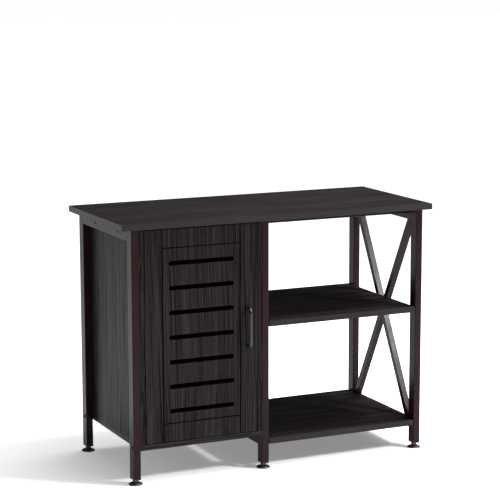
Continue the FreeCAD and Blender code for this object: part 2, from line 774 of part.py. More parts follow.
def make_handle():
    """A round rod bent twice, with a threaded hole in each leg."""
    body = doc.addObject("PartDesign::Body", "handle_rod_body")
    path = sketch_on(body, "handle_path", "YZ_Plane")
    leg = value(HANDLE_LEG)
    reach = value("handle_reach - handle_rod / 2")
    bend = value("handle_bend")
    turns = [
        Part.LineSegment(Vector(0, leg), Vector(-(reach - bend), leg)),
        Part.ArcOfCircle(Part.Circle(Vector(-(reach - bend), leg - bend), Vector(0, 0, 1), bend),
                         math.pi / 2, math.pi),
        Part.LineSegment(Vector(-reach, leg - bend), Vector(-reach, bend - leg)),
        Part.ArcOfCircle(Part.Circle(Vector(-(reach - bend), bend - leg), Vector(0, 0, 1), bend),
                         math.pi, 3 * math.pi / 2),
        Part.LineSegment(Vector(-(reach - bend), -leg), Vector(0, -leg)),
    ]
    for piece in turns:
        path.addGeometry(piece)
    for step in range(4):
        path.addConstraint(Sketcher.Constraint("Tangent", step, 2, step + 1, 1))
    for step, rule in ((0, "Horizontal"), (2, "Vertical"), (4, "Horizontal")):
        path.addConstraint(Sketcher.Constraint(rule, step))
    sizes = (
        (Sketcher.Constraint("DistanceX", -1, 1, 0, 1, 0), "0"),
        (Sketcher.Constraint("DistanceX", -1, 1, 4, 2, 0), "0"),
        (Sketcher.Constraint("DistanceY", -1, 1, 0, 1, leg), HANDLE_LEG),
        (Sketcher.Constraint("DistanceY", 4, 2, -1, 1, leg), HANDLE_LEG),
        (Sketcher.Constraint("DistanceX", 2, 1, -1, 1, reach), "handle_reach - handle_rod / 2"),
        (Sketcher.Constraint("Radius", 1, bend), "handle_bend"),
    )
    for constraint, text in sizes:
        index = path.addConstraint(constraint)
        if text != "0":
            path.setExpression(f"Constraints[{index}]", bound(text))
    section = sketch_on(body, "handle_section", "XZ_Plane")
    round_outline = section.addGeometry(Part.Circle(Vector(0, leg), Vector(0, 0, 1), value("handle_rod / 2")))
    section.addConstraint(Sketcher.Constraint("PointOnObject", round_outline, 3, -2))
    for constraint, text in (
        (Sketcher.Constraint("DistanceY", -1, 1, round_outline, 3, leg), HANDLE_LEG),
        (Sketcher.Constraint("Radius", round_outline, value("handle_rod / 2")), "handle_rod / 2"),
    ):
        index = section.addConstraint(constraint)
        section.setExpression(f"Constraints[{index}]", bound(text))
    pipe = body.newObject("PartDesign::AdditivePipe", "handle_pipe")
    pipe.Profile = section
    pipe.Spine = (path, [f"Edge{number}" for number in range(1, 6)])
    body.Tip = pipe
    place(body, HANDLE_X, FRONT, "handle_middle")
    node("door_handle", cut("door_handle_tapped", body, [
        hole(f"handle_hole_{level}", (HANDLE_X, FRONT, z), "-y", "handle_screw_in + 1")
        for level, z in HANDLE_LEG_Z.items()
    ]))
    node("handle_screws", group("handle_screws_group", [
        screw(f"handle_screw_{level}", (HANDLE_X, DOOR_BACK, z), "-y", "panel_thick + handle_screw_in")
        for level, z in HANDLE_LEG_Z.items()
    ]))


def make_pivots():
    """Pins in the floor and the top, bushes in the door's edges, a washer under the door."""
    ends = {
        "low": (FLOOR_TOP, "+z", DOOR_BOTTOM, "door_gap"),
        "high": (UNDER_TOP, "-z", DOOR_TOP, "door_top_gap"),
    }
    pins, bushes = [], []
    for level, (face, axis, edge, gap) in ends.items():
        start = along((PIVOT_X, PIVOT_Y, face), axis, "0 - pivot_in_board")
        pins.append(rod(f"pivot_pin_{level}", "pivot_radius", f"pivot_in_board + {gap} + pivot_in_door",
                        start, axis))
        sleeve = rod(f"bush_{level}_sleeve", "bush_radius", "bush_long", (PIVOT_X, PIVOT_Y, edge), axis)
        bore = rod(f"bush_{level}_bore", "pivot_radius + run_gap", "pivot_in_door + 0.5",
                   (PIVOT_X, PIVOT_Y, edge), axis)
        bushes.append(cut(f"bush_{level}", sleeve, [bore]))
    node("pivot_pins", group("pivot_pins_group", pins))
    node("pivot_bushes", group("pivot_bushes_group", bushes))
    washer = rod("pivot_washer_disc", "washer_radius", "washer_thick",
                 (PIVOT_X, PIVOT_Y, FLOOR_TOP), "+z")
    eye = rod("pivot_washer_eye", "pivot_radius + run_gap", "2 * washer_thick",
              (PIVOT_X, PIVOT_Y, f"{FLOOR_TOP} - washer_thick / 2"), "+z")
    node("pivot_washer", cut("pivot_washer_ring", washer, [eye]))


def make_catch():
    """A magnetic catch on the partition and its strike plate on the door."""
    housing = box("catch_housing_block", ("catch_wide", "catch_deep", "catch_long"),
                  (f"{PARTITION} - catch_wide", CATCH_FRONT, "catch_middle - catch_long / 2"))
    magnet_size = ("magnet_wide", "catch_deep / 2", "magnet_long")
    magnet_at = (f"{PARTITION} - catch_wide / 2 - magnet_wide / 2", f"{CATCH_FRONT} - magnet_proud",
                 "catch_middle - magnet_long / 2")
    holes = [box("catch_recess", magnet_size, magnet_at)]
    for level, z in CATCH_SCREW_Z.items():
        holes.append(hole(f"catch_hole_{level}", (f"{PARTITION} - catch_wide", CATCH_SCREW_Y, z), "+x",
                          "catch_wide"))
    node("catch_housing", cut("catch_housing_cut", housing, holes))
    node("catch_magnet", box("catch_magnet_block", magnet_size, magnet_at))
    node("catch_screws", group("catch_screws_group", [
        screw(f"catch_screw_{level}", (f"{PARTITION} - catch_wide", CATCH_SCREW_Y, z), "+x",
              "catch_wide + catch_screw_in_board")
        for level, z in CATCH_SCREW_Z.items()
    ]))

    plate = box("strike_plate_strip", ("strike_wide", "strike_thick", "strike_long"),
                (f"{STRIKE_X} - strike_wide / 2", DOOR_BACK, "catch_middle - strike_long / 2"))
    node("strike_plate", cut("strike_plate_drilled", plate, [
        hole(f"strike_hole_{level}", (STRIKE_X, f"{DOOR_BACK} - strike_thick", z), "+y", "3 * strike_thick")
        for level, z in STRIKE_SCREW_Z.items()
    ]))
    # countersunk screws, their heads flush with the plate
    node("strike_screws", group("strike_screws_group", [
        rod(f"strike_screw_{level}", "screw_radius", "strike_thick + strike_screw_in_board",
            (STRIKE_X, f"{DOOR_BACK} + strike_thick", z), "-y")
        for level, z in STRIKE_SCREW_Z.items()
    ]))


# ------------------------------------------------------------------ fasteners

def make_fasteners():
    node("tabletop_screws", group("tabletop_screws_group", [
        screw(f"top_screw_{name}", start, "+z", length) for name, start, length in top_screws()
    ]))
    node("rail_screws", group("rail_screws_group", [
        screw(f"rail_screw_{side}_{end}", (face, y, RAIL_SCREW_Z), axis, "post_wide + rail_screw_in_board")
        for side, (face, axis) in RAIL_SCREWS.items() for end, y in RAIL_SCREW_Y.items()
    ]))
    node("side_screws", group("side_screws_group", [
        screw(f"side_screw_{side}_{end}", (x, y, "floor_under"), "+z", "panel_thick + side_screw_in_board")
        for side, x in SIDE_SCREW_X.items() for end, y in SIDE_SCREW_Y.items()
    ]))
    node("back_screws", group("back_screws_group", [
        screw(f"back_screw_{side}_{level}", (x, BACK, z), "-y", "back_thick + back_screw_in_board")
        for side, x in SIDE_SCREW_X.items() for level, z in BACK_SCREW_Z.items()
    ]))
    node("floor_bolts", group("floor_bolts_group", [
        screw(f"floor_bolt_{side}_{end}", (face, y, FLOOR_BOLT_Z), axis, "post_wide + bolt_in_board", "bolt")
        for side, (face, axis) in FLOOR_BOLTS.items() for end, y in POST_Y.items()
    ]))
    shelf_bolts = [
        screw(f"middle_shelf_bolt_{side}_{end}", (face, y, MIDDLE_BOLT_Z), axis, length, "bolt")
        for side, (face, axis, length) in MIDDLE_BOLTS.items() for end, y in MIDDLE_BOLT_Y.items()
    ]
    for side, (face, axis) in LOW_BOLTS.items():
        for end, y in LOW_BOLT_Y.items():
            shelf_bolts.append(screw(f"bottom_shelf_bolt_{side}_{end}", (face, y, "shelf_bolt_height"),
                                     axis, LOW_BOLT_LENGTH, "bolt"))
    node("shelf_bolts", group("shelf_bolts_group", shelf_bolts))


# ---------------------------------------------------------------------- feet

PAD_TOP = "(post_foot - plug_flange - pad_gap)"


# Where the dome's arc passes, as shares of its run and rise from the boss
DOME_OUT = 0.6
DOME_DOWN = 0.3


def foot_pad(name):
    """A round pad turned about its stud: a rim, a domed top and a boss."""
    body = doc.addObject("PartDesign::Body", name)
    profile = sketch_on(body, name + "_profile", "XZ_Plane")
    stud, edge, boss = value("stud_radius"), value("pad_radius"), value("boss_radius")
    chamfer, rim, shoulder = value("pad_chamfer"), value("pad_rim"), value("pad_rim + pad_dome")
    top, socket = value(PAD_TOP), value(f"{PAD_TOP} - stud_in_pad")
    outline = [
        (0, 0), (edge - chamfer, 0), (edge, chamfer), (edge, rim), (boss, shoulder),
        (boss, top), (stud, top), (stud, socket), (0, socket),
    ]
    points = [Vector(x, z) for x, z in outline]
    crown = outline.index((edge, rim))
    bulge = Vector(boss + DOME_OUT * (edge - boss), shoulder - DOME_DOWN * (shoulder - rim))
    for step, point in enumerate(points):
        follower = points[(step + 1) % len(points)]
        side = Part.Arc(point, bulge, follower) if step == crown else Part.LineSegment(point, follower)
        profile.addGeometry(side)
    turned = body.newObject("PartDesign::Revolution", name + "_turned")
    turned.Profile = profile
    turned.ReferenceAxis = (profile, ["V_Axis"])
    turned.Angle = 360
    body.Tip = turned
    return body


def make_feet():
    for side, x in POST_X.items():
        for end, y in POST_Y.items():
            pad = foot_pad(f"foot_pad_{end}_{side}_body")
            node(f"foot_pad_{end}_{side}", place(pad, x, y, "0"))
            stud = rod(f"foot_stud_{end}_{side}_bar", "stud_radius", "stud_long",
                       (x, y, f"{PAD_TOP} - stud_in_pad"), "+z")
            node(f"foot_stud_{end}_{side}", stud)


# --------------------------------------------------------------------- build

def check_and_write():
    doc.recompute()
    for item in doc.Objects:
        state = set(item.State)
        if state & {"Invalid", "Error"}:
            raise RuntimeError(f"{item.Label} did not compute: {item.State}")
    os.makedirs("parts", exist_ok=True)
    for name, item in nodes.items():
        shape = item.Shape
        if shape.isNull() or not shape.isValid() or not shape.Solids:
            raise RuntimeError(f"{name} has no sound solid")
    for name, item in nodes.items():
        item.Shape.exportStep(f"parts/{name}.step")
    print(f"{len(nodes)} sub-parts written")


make_tabletop()
make_posts()
make_top_rails()
make_beams()
make_low_rails()
make_braces()
make_end_plugs()
make_shelf("middle_shelf", "middle_shelf_top", MIDDLE_BOLT_Y, MIDDLE_BOLT_Z)
make_shelf("bottom_shelf", "bottom_shelf_top", LOW_BOLT_Y, "shelf_bolt_height")
make_cabinet_sides()
make_cabinet_floor()
make_cabinet_back()
make_inner_shelf()
make_door()
make_handle()
make_pivots()
make_catch()
make_fasteners()
make_feet()
check_and_write()
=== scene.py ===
import json
import math

import bmesh
import bpy
from mathutils import Matrix, Vector


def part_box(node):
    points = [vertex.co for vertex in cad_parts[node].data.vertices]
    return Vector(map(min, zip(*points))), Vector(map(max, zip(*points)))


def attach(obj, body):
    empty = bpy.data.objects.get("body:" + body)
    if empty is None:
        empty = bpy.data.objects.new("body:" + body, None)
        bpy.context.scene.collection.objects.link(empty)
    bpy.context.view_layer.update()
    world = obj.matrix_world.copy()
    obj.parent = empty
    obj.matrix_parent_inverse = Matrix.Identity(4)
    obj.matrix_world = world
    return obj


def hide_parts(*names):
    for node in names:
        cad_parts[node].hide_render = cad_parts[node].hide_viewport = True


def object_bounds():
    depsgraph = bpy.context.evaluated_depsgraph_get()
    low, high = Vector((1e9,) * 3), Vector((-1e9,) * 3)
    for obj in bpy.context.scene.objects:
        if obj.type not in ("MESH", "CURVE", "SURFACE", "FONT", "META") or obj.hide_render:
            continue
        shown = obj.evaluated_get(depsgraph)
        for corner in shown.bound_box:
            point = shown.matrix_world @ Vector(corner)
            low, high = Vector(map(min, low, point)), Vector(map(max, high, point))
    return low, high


# Looks of the aquarium stand cabinet: black wood-grain boards, brown-black powder-coated
# tube, plastic feet and the small hardware. Metres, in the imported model's own frame.
# Angles are in degrees unless a comment says otherwise.

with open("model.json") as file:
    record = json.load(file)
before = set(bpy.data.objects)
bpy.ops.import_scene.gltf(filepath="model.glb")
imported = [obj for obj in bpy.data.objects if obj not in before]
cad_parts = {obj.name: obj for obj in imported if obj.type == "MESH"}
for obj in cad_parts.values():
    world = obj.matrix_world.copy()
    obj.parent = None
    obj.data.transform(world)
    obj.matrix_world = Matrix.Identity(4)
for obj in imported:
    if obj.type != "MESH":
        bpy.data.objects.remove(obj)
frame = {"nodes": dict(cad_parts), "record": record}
CAD_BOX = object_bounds()
NODES = frame["nodes"]

AXES = "XYZ"
Y, Z = 1, 2


def outward(azimuth, elevation):
    """The way from the object to a place round it: azimuth 0 is in front, 90 on its right."""
    turn, rise = math.radians(azimuth), math.radians(elevation)
    return Vector((math.sin(turn) * math.cos(rise), -math.cos(turn) * math.cos(rise), math.sin(rise)))


# ------------------------------------------------------------------- camera

VIEW_AZIMUTH = -25.02
VIEW_ELEVATION = 9.58
VIEW_ROLL = -0.13
VIEW_DISTANCE = 5.648
VIEW_ASIDE = -0.0036
VIEW_HEIGHT = 0.6359
LENS_MM = 131.3
SENSOR_MM = 36


def make_camera():
    """The photograph's viewpoint: from the front left, a little above the top."""
    top_low, top_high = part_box("tabletop")
    target = (top_low + top_high) / 2
    target.x += VIEW_ASIDE
    target.z = VIEW_HEIGHT
    back = outward(VIEW_AZIMUTH, VIEW_ELEVATION)
    data = bpy.data.cameras.new("camera")
    data.lens = LENS_MM
    data.sensor_width = SENSOR_MM
    camera = bpy.data.objects.new("camera", data)
    turn = (-back).to_track_quat("-Z", "Y").to_matrix().to_4x4()
    roll = Matrix.Rotation(math.radians(VIEW_ROLL), 4, "Z")
    camera.matrix_world = Matrix.Translation(target + back * VIEW_DISTANCE) @ turn @ roll
    bpy.context.scene.collection.objects.link(camera)
    bpy.context.scene.camera = camera


# ---------------------------------------------------------- shader building

class Shader:
    """A material under construction: short calls that add and join its nodes.

    A source is a node's output or a fixed value, and a fixed colour is an RGB triple.
    """

    # The Mix node's sockets for each kind of value: first, second and result.
    MIX_SOCKETS = {"FLOAT": (2, 3, 0), "VECTOR": (4, 5, 1), "RGBA": (6, 7, 2)}
    SURFACE_INPUTS = {
        "colour": "Base Color", "rough": "Roughness", "metal": "Metallic", "normal": "Normal",
        "specular": "Specular IOR Level", "glow": "Emission Color",
        "glow_power": "Emission Strength",
    }

    def __init__(self, name):
        self.material = bpy.data.materials.new(name)
        self.material.use_nodes = True
        self.tree = self.material.node_tree
        self.surface = self.tree.nodes["Principled BSDF"]

    def add(self, kind, inputs=None, **settings):
        """A new node with its settings and its inputs' sources."""
        node = self.tree.nodes.new(kind)
        for key, setting in settings.items():
            setattr(node, key, setting)
        for key, source in (inputs or {}).items():
            self.give(node, key, source)
        return node

    def give(self, node, key, source):
        """Links a source to an input, or sets the input to a fixed value."""
        socket = node.inputs[key]
        if isinstance(source, bpy.types.NodeSocket):
            self.tree.links.new(source, socket)
        elif socket.type == "RGBA":
            socket.default_value = (*source, 1)
        else:
            socket.default_value = source

    def place(self):
        """The point on the object, in the object's own metres."""
        return self.add("ShaderNodeTexCoord").outputs["Object"]

    def math(self, operation, first, second=0.0):
        return self.add("ShaderNodeMath", {0: first, 1: second}, operation=operation).outputs[0]

    def total(self, *parts):
        """The sum of (source, share) parts."""
        result = None
        for source, share in parts:
            part = self.math("MULTIPLY", source, share)
            result = part if result is None else self.math("ADD", result, part)
        return result

    def ramp(self, source, stops):
        """A colour ramp from (place, colour) stops."""
        node = self.add("ShaderNodeValToRGB", {0: source})
        elements = node.color_ramp.elements
        while len(elements) < len(stops):
            elements.new(0.5)
        for element, (place, colour) in zip(elements, stops):
            element.position = place
            element.color = (*colour, 1)
        return node.outputs[0]

    def level(self, source, low, high, to_low=0.0, to_high=1.0):
        """The source's range from low to high, spread over another range."""
        inputs = {0: source, 1: low, 2: high, 3: to_low, 4: to_high}
        return self.add("ShaderNodeMapRange", inputs).outputs[0]

    def noise(self, vector, size, detail, rough, distortion=0.0):
        """Noise with features of about a size in the vector's own unit."""
        return self.add("ShaderNodeTexNoise", {
            "Vector": vector, "Scale": 1 / size, "Detail": detail, "Roughness": rough,
            "Distortion": distortion,
        }).outputs[0]

    def stretched(self, vector, sizes):
        """The vector with each axis divided by a size in metres."""
        scale = [1 / size for size in sizes]
        return self.add("ShaderNodeMapping", {"Vector": vector, "Scale": scale}).outputs[0]

    def mix(self, share, first, second, kind="RGBA"):
        """The first source where the share is 0, and the second where it is 1."""
        one, other, result = self.MIX_SOCKETS[kind]
        inputs = {0: share, one: first, other: second}
        return self.add("ShaderNodeMix", inputs, data_type=kind).outputs[result]

    def inside(self, place, low, high):
        """1 where the place is between two corners, and 0 elsewhere."""
        axes = self.add("ShaderNodeSeparateXYZ", {0: place}).outputs
        share = None
        for axis, (start, end) in enumerate(zip(low, high)):
            for edge, operation in ((start, "GREATER_THAN"), (end, "LESS_THAN")):
                step = self.math(operation, axes[axis], edge)
                share = step if share is None else self.math("MULTIPLY", share, step)
        return share

    def bump(self, height, distance, strength):
        inputs = {"Height": height, "Distance": distance, "Strength": strength}
        return self.add("ShaderNodeBump", inputs).outputs[0]

    def finish(self, **values):
        """Gives the surface its values and returns the material."""
        for key, source in values.items():
            self.give(self.surface, self.SURFACE_INPUTS[key], source)
        return self.material


def toned(colour, share):
    """A colour made darker, or lighter with a share above 1."""
    return tuple(channel * share for channel in colour)


# ------------------------------------------------------------ wood laminate

BOARD_DARK = (0.0036, 0.0029, 0.0027)
BOARD_LIGHT = (0.0216, 0.0174, 0.0167)

# Layers of the wood print: the size along the grain and across it, detail and roughness.
WAVES = (0.5, 0.08, 1.0, 0.3)
STREAKS = (0.9, 0.022, 3.0, 0.5)
LINES = (0.34, 0.0027, 2.0, 0.5)
PORES = (0.035, 0.0011, 2.0, 0.6)
TICKS = (0.018, 0.0007, 2.0, 0.5)
WAVE_SWING = 0.05
STREAK_SHARE, LINE_SHARE, PORE_SHARE = 0.13, 0.67, 0.2
PRINT_RANGE = (0.38, 0.62)
DARK_LINE_RANGE = (0.36, 0.43)
TICK_RANGE = (0.58, 0.68)
TICK_STRENGTH = 0.7
MARK_COVER = 0.75

# The embossed pores.
EMBOSS_DEPTH = 0.00022
LINE_RELIEF, MARK_RELIEF = 0.8, 0.45
MARK_ROUGHER = 0.3

# A face counts as being across an axis where its normal has more than this share of it.
FACING_LIMIT = 0.7

# The edge bands of the top and the shelves, which are a shade lighter and nearly plain.
BAND_TONE = (0.0245, 0.0208, 0.0213)
BAND_ROUGH = 0.28
BAND_COVER = 0.75

# The core that shows in the door's grooves and slots, under the skin of the faces
# and the bands of the edges, is painted near-black. That black is partly the core's dull
# paint and partly painted shade, darkening the grooves and slots as shade in them would.
CORE_PAINT_AND_SHADE = (0.0012, 0.0011, 0.0011)
CORE_ROUGH = 0.8
LAMINATE_SKIN = 0.0013
EDGE_BAND = 0.002


def wood_laminate(name, grain, sway, gloss=0.3, specular=0.07, routed=None, banded=False):
    """Black wood-print laminate over board.

    The printed grain runs along one axis and wanders along another, in the plane of
    the board. On the edge bands of the board's two ends, which face along the grain,
    it runs along that second axis. A banded board's edges have the lighter band tone,
    with only a trace of the print. Inside the box routed, if there is one, the cutter
    has left the board's core, which is painted near-black: partly a dull core paint and
    partly painted shade that darkens the grooves and slots as shade would.
    """
    shader = Shader(name)
    coordinates = shader.add("ShaderNodeTexCoord")
    place = coordinates.outputs["Object"]
    facing = shader.add("ShaderNodeSeparateXYZ", {0: coordinates.outputs["Normal"]}).outputs

    def faces(axis):
        """1 on the faces across an axis, and 0 elsewhere."""
        share = shader.math("ABSOLUTE", facing[AXES.index(axis)])
        return shader.math("GREATER_THAN", share, FACING_LIMIT)

    def drawn_out(source, axis, along, across):
        return shader.stretched(source, [along if each == axis else across for each in AXES])

    on_end = faces(grain)

    def layer(source, along, across, detail, rough):
        """Noise drawn out along the grain, or on the ends along the second axis."""
        vector = shader.mix(on_end, drawn_out(source, grain, along, across),
                            drawn_out(source, sway, along, across), "VECTOR")
        return shader.noise(vector, 1.0, detail, rough)

    # Slow waves push the fine lines sideways, so that they draw long cathedral arches.
    wave = shader.math("SUBTRACT", layer(place, *WAVES), 0.5)
    aside = shader.math("MULTIPLY", wave, WAVE_SWING)
    push = shader.add("ShaderNodeCombineXYZ", {AXES.index(sway): aside}).outputs[0]
    waved = shader.add("ShaderNodeVectorMath", {0: place, 1: push}, operation="ADD").outputs[0]
    streaks = layer(waved, *STREAKS)
    lines = layer(waved, *LINES)
    pores = layer(waved, *PORES)
    ticks = layer(waved, *TICKS)

    tone = shader.total((streaks, STREAK_SHARE), (lines, LINE_SHARE), (pores, PORE_SHARE))
    between = tuple((dark + light) / 2 for dark, light in zip(BOARD_DARK, BOARD_LIGHT))
    colour = shader.ramp(shader.level(tone, *PRINT_RANGE), [
        (0.0, toned(BOARD_DARK, 0.35)), (0.3, BOARD_DARK), (0.65, between), (1.0, BOARD_LIGHT),
    ])
    dark_line = shader.level(lines, *DARK_LINE_RANGE, 1.0, 0.0)
    tick = shader.math("MULTIPLY", shader.level(ticks, *TICK_RANGE), TICK_STRENGTH)
    mark = shader.math("MAXIMUM", dark_line, tick)
    cover = shader.math("MULTIPLY", mark, MARK_COVER)
    colour = shader.mix(cover, colour, toned(BOARD_DARK, 0.25))
    rough = shader.mix(mark, gloss, gloss + MARK_ROUGHER, "FLOAT")
    height = shader.math("SUBTRACT", shader.math("MULTIPLY", lines, LINE_RELIEF),
                         shader.math("MULTIPLY", mark, MARK_RELIEF))
    if banded:
        on_band = shader.math("MAXIMUM", on_end, faces(sway))
        colour = shader.mix(shader.math("MULTIPLY", on_band, BAND_COVER), colour, BAND_TONE)
        rough = shader.mix(on_band, rough, BAND_ROUGH, "FLOAT")
    if routed is not None:
        # Near-black in the routed grooves and slots: core paint, and painted shade in these recesses.
        in_core_and_shade = shader.inside(place, *routed)
        colour = shader.mix(in_core_and_shade, colour, CORE_PAINT_AND_SHADE)
        rough = shader.mix(in_core_and_shade, rough, CORE_ROUGH, "FLOAT")
    return shader.finish(colour=colour, rough=rough, specular=specular,
                         normal=shader.bump(height, EMBOSS_DEPTH, 1.0))


def routed_region(name):
    """The inside of a board with a routed front, less the skin and the edge bands."""
    low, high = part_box(name)
    skin = Vector((EDGE_BAND, LAMINATE_SKIN, EDGE_BAND))
    return low + skin, high - skin


# ----------------------------------------------------------- other finishes

PEEL_SIZE, GRIT_SIZE, COAT_CLOUD_SIZE = 0.0016, 0.0005, 0.07
PEEL_DEPTH = 0.00016
SPARK_SIZE, SCUFF_SIZE = 0.0008, 0.012
SPARK_DEPTH = 0.00006
PLATING_CLOUD_SIZE, TURNING_SIZE = 0.006, 0.0003
TURNING_DEPTH = 0.00002
FIBRE_SIZES = (0.005, 0.005, 0.0014)
FLECK_SIZES = (0.012, 0.012, 0.003)
BOARD_CLOUD_SIZE = 0.11
FIBRE_DEPTH = 0.00022


def powder_coat(name, colour, rough, specular=0.5):
    """Satin powder coat: a fine orange-peel skin with small darker and lighter clouds."""
    shader = Shader(name)
    place = shader.place()
    peel = shader.noise(place, PEEL_SIZE, 2.0, 0.5)
    grit = shader.noise(place, GRIT_SIZE, 2.0, 0.6)
    clouds = shader.noise(place, COAT_CLOUD_SIZE, 3.0, 0.55)
    tone = shader.mix(shader.level(clouds, 0.35, 0.65), toned(colour, 0.85), toned(colour, 1.15))
    speck = shader.math("MULTIPLY", shader.level(grit, 0.62, 0.72), 0.25)
    tone = shader.mix(speck, tone, toned(colour, 2.2))
    height = shader.math("ADD", peel, shader.math("MULTIPLY", grit, 0.35))
    return shader.finish(colour=tone, specular=specular,
                         rough=shader.level(clouds, 0.3, 0.7, rough - 0.04, rough + 0.05),
                         normal=shader.bump(height, PEEL_DEPTH, 0.9))


def moulded_plastic(name, colour, rough):
    """Spark-eroded moulded plastic."""
    shader = Shader(name)
    place = shader.place()
    skin = shader.noise(place, SPARK_SIZE, 3.0, 0.6)
    scuffs = shader.noise(place, SCUFF_SIZE, 4.0, 0.65)
    tone = shader.mix(shader.level(scuffs, 0.4, 0.7), colour, toned(colour, 1.5))
    return shader.finish(colour=tone,
                         rough=shader.level(scuffs, 0.3, 0.7, rough - 0.05, rough + 0.1),
                         normal=shader.bump(skin, SPARK_DEPTH, 0.7))


def plated_steel(name, colour, rough):
    """Plated or bare metal with faint turning marks and cloudy patches."""
    shader = Shader(name)
    place = shader.place()
    clouds = shader.noise(place, PLATING_CLOUD_SIZE, 4.0, 0.6)
    marks = shader.noise(place, TURNING_SIZE, 2.0, 0.5)
    return shader.finish(colour=shader.mix(clouds, toned(colour, 0.8), colour), metal=1.0,
                         rough=shader.level(clouds, 0.3, 0.7, rough, rough + 0.14),
                         normal=shader.bump(marks, TURNING_DEPTH, 0.5))


def hardboard(name, colour):
    """Painted fibre board: matted fibres, flecks, and clouds where the paint sank in."""
    shader = Shader(name)
    place = shader.place()
    fibres = shader.noise(shader.stretched(place, FIBRE_SIZES), 1.0, 4.0, 0.7, 0.6)
    flecks = shader.noise(shader.stretched(place, FLECK_SIZES), 1.0, 2.0, 0.5, 1.2)
    clouds = shader.noise(place, BOARD_CLOUD_SIZE, 4.0, 0.6, 0.5)
    tone = shader.ramp(shader.level(fibres, 0.36, 0.66), [
        (0.0, toned(colour, 0.45)), (0.5, colour), (1.0, toned(colour, 1.7)),
    ])
    fleck = shader.math("MULTIPLY", shader.level(flecks, 0.6, 0.72), 0.6)
    tone = shader.mix(fleck, tone, toned(colour, 2.1))
    tone = shader.mix(shader.level(clouds, 0.32, 0.7, 0.0, 0.65), tone, toned(colour, 0.4))
    height = shader.math("ADD", fibres, shader.math("MULTIPLY", flecks, 0.5))
    return shader.finish(colour=tone, rough=shader.level(clouds, 0.3, 0.7, 0.5, 0.72),
                         specular=0.2, normal=shader.bump(height, FIBRE_DEPTH, 1.0))


MATERIALS = {
    "top_laminate": wood_laminate("top_laminate", "X", "Y", gloss=0.6, specular=0.065,
                                  banded=True),
    "shelf_laminate": wood_laminate("shelf_laminate", "X", "Y", gloss=0.58, specular=0.025,
                                    banded=True),
    "door_laminate": wood_laminate("door_laminate", "Z", "X", gloss=0.24, specular=0.05,
                                   routed=routed_region("door")),
    "carcass_laminate": wood_laminate("carcass_laminate", "Z", "Y", specular=0.038),
    "floor_laminate": wood_laminate("floor_laminate", "X", "Y"),
    "hardboard": hardboard("hardboard", (0.018, 0.016, 0.015)),
    "powder_coat": powder_coat("powder_coat", (0.0128, 0.0050, 0.0060), 0.22, 0.07),
    "handle_paint": powder_coat("handle_paint", (0.008, 0.008, 0.008), 0.24, 0.4),
    "black_plastic": moulded_plastic("black_plastic", (0.008, 0.008, 0.0085), 0.5),
    "zinc_steel": plated_steel("zinc_steel", (0.62, 0.62, 0.64), 0.28),
    "black_screw": powder_coat("black_screw", (0.006, 0.006, 0.0065), 0.3),
    "magnet": plated_steel("magnet", (0.13, 0.13, 0.14), 0.4),
}

# Carcass boards that lie flat, so that their grain runs across the cabinet.
LEVEL_BOARDS = ("cabinet_floor", "inner_shelf")


def paint(piece, material):
    """Gives a CAD node or a new piece one of the materials."""
    piece.data.materials.clear()
    piece.data.materials.append(MATERIALS[material])


def slot_of(node):
    """The record's material slot of a CAD node."""
    subparts = frame["record"]["subparts"]
    return next(part["material_slot"] for part in subparts if part["node"] == node)


def body_with(node):
    """The body that carries a CAD node."""
    bodies = frame["record"]["behaviour"]["bodies"]
    return next(body for body, nodes in bodies.items() if node in nodes)


def paint_nodes():
    for node, piece in NODES.items():
        paint(piece, "floor_laminate" if node in LEVEL_BOARDS else slot_of(node))


# --------------------------------------------------------------- mesh pieces

SHARP_ANGLE = 32


def add_piece(name, bm, body, slot, replaced=()):
    """Makes a new visible piece of a mesh, on a body and in a record slot."""
    bmesh.ops.recalc_face_normals(bm, faces=bm.faces)
    mesh = bpy.data.meshes.new(name)
    bm.to_mesh(mesh)
    bm.free()
    mesh.polygons.foreach_set("use_smooth", [True] * len(mesh.polygons))
    mesh.set_sharp_from_angle(angle=math.radians(SHARP_ANGLE))
    piece = bpy.data.objects.new(name, mesh)
    bpy.context.scene.collection.objects.link(piece)
    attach(piece, body)
    if replaced:
        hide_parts(*replaced)
    paint(piece, slot)


def add_rings(bm, rings, place, sides):
    """Adds a closed form of stacked rings, whose ends close to a point.

    Each ring is a height and a radius, or a function that gives the radius for an
    angle in radians.
    """
    rows = []
    for height, radius in rings:
        row = []
        for step in range(sides):
            angle = 2 * math.pi * step / sides
            reach = radius(angle) if callable(radius) else radius
            point = Vector((reach * math.cos(angle), reach * math.sin(angle), height))
            row.append(bm.verts.new(place @ point))
        rows.append(row)
    for lower, upper in zip(rows, rows[1:]):
        for step in range(sides):
            after = (step + 1) % sides
            bm.faces.new((lower[step], lower[after], upper[after], upper[step]))
    for row, height in ((rows[0], rings[0][0]), (rows[-1], rings[-1][0])):
        middle = bm.verts.new(place @ Vector((0, 0, height)))
        for step in range(sides):
            bm.faces.new((row[step], row[(step + 1) % sides], middle))


def corners(points):
    """The low and high corner of the box round some points."""
    low = Vector([min(point[axis] for point in points) for axis in range(3)])
    high = Vector([max(point[axis] for point in points) for axis in range(3)])
    return low, high


def islands(node):
    """The separate solids of a CAD node, each as a list of its points."""
    mesh = NODES[node].data
    parent = {}

    def root(key):
        while parent[key] != key:
            parent[key] = parent[parent[key]]
            key = parent[key]
        return key

    keys = [tuple(round(value, 6) for value in vertex.co) for vertex in mesh.vertices]
    for key in keys:
        parent.setdefault(key, key)
    for polygon in mesh.polygons:
        first = root(keys[polygon.vertices[0]])
        for index in polygon.vertices[1:]:
            parent[root(keys[index])] = first
    groups = {}
    for key in parent:
        groups.setdefault(root(key), []).append(Vector(key))
    return [groups[key] for key in sorted(groups)]


# ----------------------------------------------------------------- fasteners
# Heights and depths below are shares of the head's height, the rest of the head's radius.

